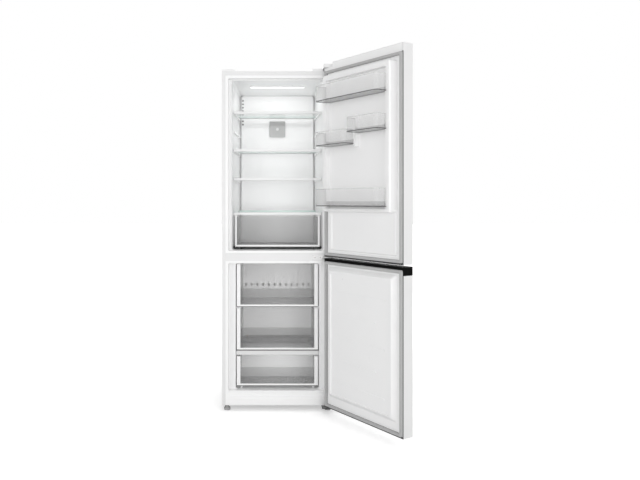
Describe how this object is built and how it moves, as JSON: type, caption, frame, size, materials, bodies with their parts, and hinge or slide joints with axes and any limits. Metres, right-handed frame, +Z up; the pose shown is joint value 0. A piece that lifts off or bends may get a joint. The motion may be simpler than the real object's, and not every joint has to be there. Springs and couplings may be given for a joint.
{
  "type": "bottom freezer refrigerator",
  "caption": "Free-standing two-door fridge with the freezer below, glass shelves, crisper, freezer drawers and door balconies, doors open.",
  "frame": {"origin": "on the floor, in the plane of the cabinet's front flange, midway between its sides", "axes": "+X to the right seen from the front, +Y towards the rear, +Z up"},
  "size_m": [0.9206, 1.0696, 1.848],
  "materials": {
    "white_steel": "semi-gloss white enamel",
    "zinc_steel": "zinc coated sheet",
    "white_plastic": "satin white",
    "liner_plastic": "glossy light white",
    "grey_plastic": "matte grey",
    "black_plastic": "matte black",
    "clear_plastic": "clear styrene",
    "drawer_plastic": "clear front, white tub",
    "lamp_lens": "frosted",
    "shelf_glass": "clear pane with white edges",
    "door_rubber": "grey gasket",
    "black_rubber": "black",
    "foam": "rigid foam",
    "coil_aluminium": "plain",
    "black_enamel": "black enamel",
    "tube_metal": "copper coloured",
    "dark_plastic": "matte dark grey"
  },
  "bodies": {
    "cabinet": {"outer_wrapper": "white_steel", "rear_panel": "white_steel", "base_pan": "zinc_steel", "lower_front_panel": "white_plastic", "mullion_cover": "white_steel", "cabinet_foam": "foam", "fridge_liner": "liner_plastic", "freezer_liner": "liner_plastic", "fridge_duct_panel": "liner_plastic", "air_outlet_cover": "grey_plastic", "led_lamp_lens": "lamp_lens", "freezer_duct_panel": "liner_plastic", "freezer_shelf": "shelf_glass", "evaporator": "coil_aluminium", "defrost_heater": "coil_aluminium", "fan_motor": "black_plastic", "drain_tube": "grey_plastic", "drain_pan": "dark_plastic", "compressor_deck": "zinc_steel", "compressor": "black_enamel", "compressor_grommets": "black_rubber", "refrigerant_tubing": "tube_metal", "control_box": "dark_plastic", "power_inlet": "black_plastic", "roller_axles": "zinc_steel", "top_hinge": "zinc_steel", "middle_hinge": "zinc_steel", "bottom_hinge": "zinc_steel", "hinge_pins": "zinc_steel", "hinge_screws": "zinc_steel", "top_hinge_cover": "white_plastic", "top_corner_cover": "white_plastic"},
    "fridge_door": {"fridge_door_skin": "white_steel", "fridge_door_caps": "white_plastic", "fridge_door_foam": "foam", "fridge_door_liner": "liner_plastic", "fridge_door_gasket": "door_rubber"},
    "freezer_door": {"freezer_door_skin": "white_steel", "freezer_door_handle": "black_plastic", "freezer_door_cap": "white_plastic", "freezer_door_foam": "foam", "freezer_door_liner": "liner_plastic", "freezer_door_gasket": "door_rubber"},
    "evaporator_fan": {"evaporator_fan": "white_plastic"},
    "rear_roller_left": {"rear_roller_left": "dark_plastic"},
    "rear_roller_right": {"rear_roller_right": "dark_plastic"},
    "front_foot_left": {"front_foot_left": "dark_plastic"},
    "front_foot_right": {"front_foot_right": "dark_plastic"},
    "top_shelf": {"top_shelf": "shelf_glass"},
    "upper_shelf": {"upper_shelf": "shelf_glass"},
    "lower_shelf": {"lower_shelf": "shelf_glass"},
    "crisper_shelf": {"crisper_shelf": "shelf_glass"},
    "crisper_drawer": {"crisper_drawer": "clear_plastic"},
    "freezer_drawer_top": {"freezer_drawer_top": "drawer_plastic"},
    "freezer_drawer_middle": {"freezer_drawer_middle": "drawer_plastic"},
    "freezer_drawer_bottom": {"freezer_drawer_bottom": "drawer_plastic"},
    "balcony_top": {"balcony_top": "clear_plastic"},
    "balcony_left": {"balcony_left": "clear_plastic"},
    "balcony_right": {"balcony_right": "clear_plastic"},
    "balcony_bottle": {"balcony_bottle": "clear_plastic"}
  },
  "joints": [
    {"name": "fridge_door_hinge", "type": "hinge", "parent": "cabinet", "child": "fridge_door", "pos_m": [0.2815, -0.04, 0], "axis": [0, 0, 1], "range_deg": [-123, 7]},
    {"name": "freezer_door_hinge", "type": "hinge", "parent": "cabinet", "child": "freezer_door", "pos_m": [0.2815, -0.04, 0], "axis": [0, 0, 1], "range_deg": [-123, 7]},
    {"name": "crisper_slide", "type": "slide", "parent": "cabinet", "child": "crisper_drawer", "axis": [0, -1, 0], "range_m": [0, 0.3]},
    {"name": "freezer_top_slide", "type": "slide", "parent": "cabinet", "child": "freezer_drawer_top", "axis": [0, -1, 0], "range_m": [0, 0.3]},
    {"name": "freezer_middle_slide", "type": "slide", "parent": "cabinet", "child": "freezer_drawer_middle", "axis": [0, -1, 0], "range_m": [0, 0.3]},
    {"name": "freezer_bottom_slide", "type": "slide", "parent": "cabinet", "child": "freezer_drawer_bottom", "axis": [0, -1, 0], "range_m": [0, 0.17]},
    {"name": "top_shelf_slide", "type": "slide", "parent": "cabinet", "child": "top_shelf", "axis": [0, -1, 0], "range_m": [0, 0.16]},
    {"name": "upper_shelf_slide", "type": "slide", "parent": "cabinet", "child": "upper_shelf", "axis": [0, -1, 0], "range_m": [0, 0.16]},
    {"name": "lower_shelf_slide", "type": "slide", "parent": "cabinet", "child": "lower_shelf", "axis": [0, -1, 0], "range_m": [0, 0.16]},
    {"name": "crisper_shelf_slide", "type": "slide", "parent": "cabinet", "child": "crisper_shelf", "axis": [0, -1, 0], "range_m": [0, 0.16]},
    {"name": "balcony_top_lift", "type": "slide", "parent": "fridge_door", "child": "balcony_top", "axis": [0, 0, 1], "range_m": [0, 0.03]},
    {"name": "balcony_left_lift", "type": "slide", "parent": "fridge_door", "child": "balcony_left", "axis": [0, 0, 1], "range_m": [0, 0.03]},
    {"name": "balcony_right_lift", "type": "slide", "parent": "fridge_door", "child": "balcony_right", "axis": [0, 0, 1], "range_m": [0, 0.03]},
    {"name": "balcony_bottle_lift", "type": "slide", "parent": "fridge_door", "child": "balcony_bottle", "axis": [0, 0, 1], "range_m": [0, 0.03]},
    {"name": "fan_spin", "type": "hinge", "parent": "cabinet", "child": "evaporator_fan", "pos_m": [0, 0.431, 0.69], "axis": [0, 1, 0], "continuous": true},
    {"name": "roller_left_spin", "type": "hinge", "parent": "cabinet", "child": "rear_roller_left", "pos_m": [-0.257, 0.48, 0.014], "axis": [1, 0, 0], "continuous": true},
    {"name": "roller_right_spin", "type": "hinge", "parent": "cabinet", "child": "rear_roller_right", "pos_m": [0.257, 0.48, 0.014], "axis": [1, 0, 0], "continuous": true},
    {"name": "foot_left_turn", "type": "hinge", "parent": "cabinet", "child": "front_foot_left", "pos_m": [-0.27, 0.02, 0], "axis": [0, 0, 1], "continuous": true},
    {"name": "foot_right_turn", "type": "hinge", "parent": "cabinet", "child": "front_foot_right", "pos_m": [0.27, 0.02, 0], "axis": [0, 0, 1], "continuous": true}
  ]
}
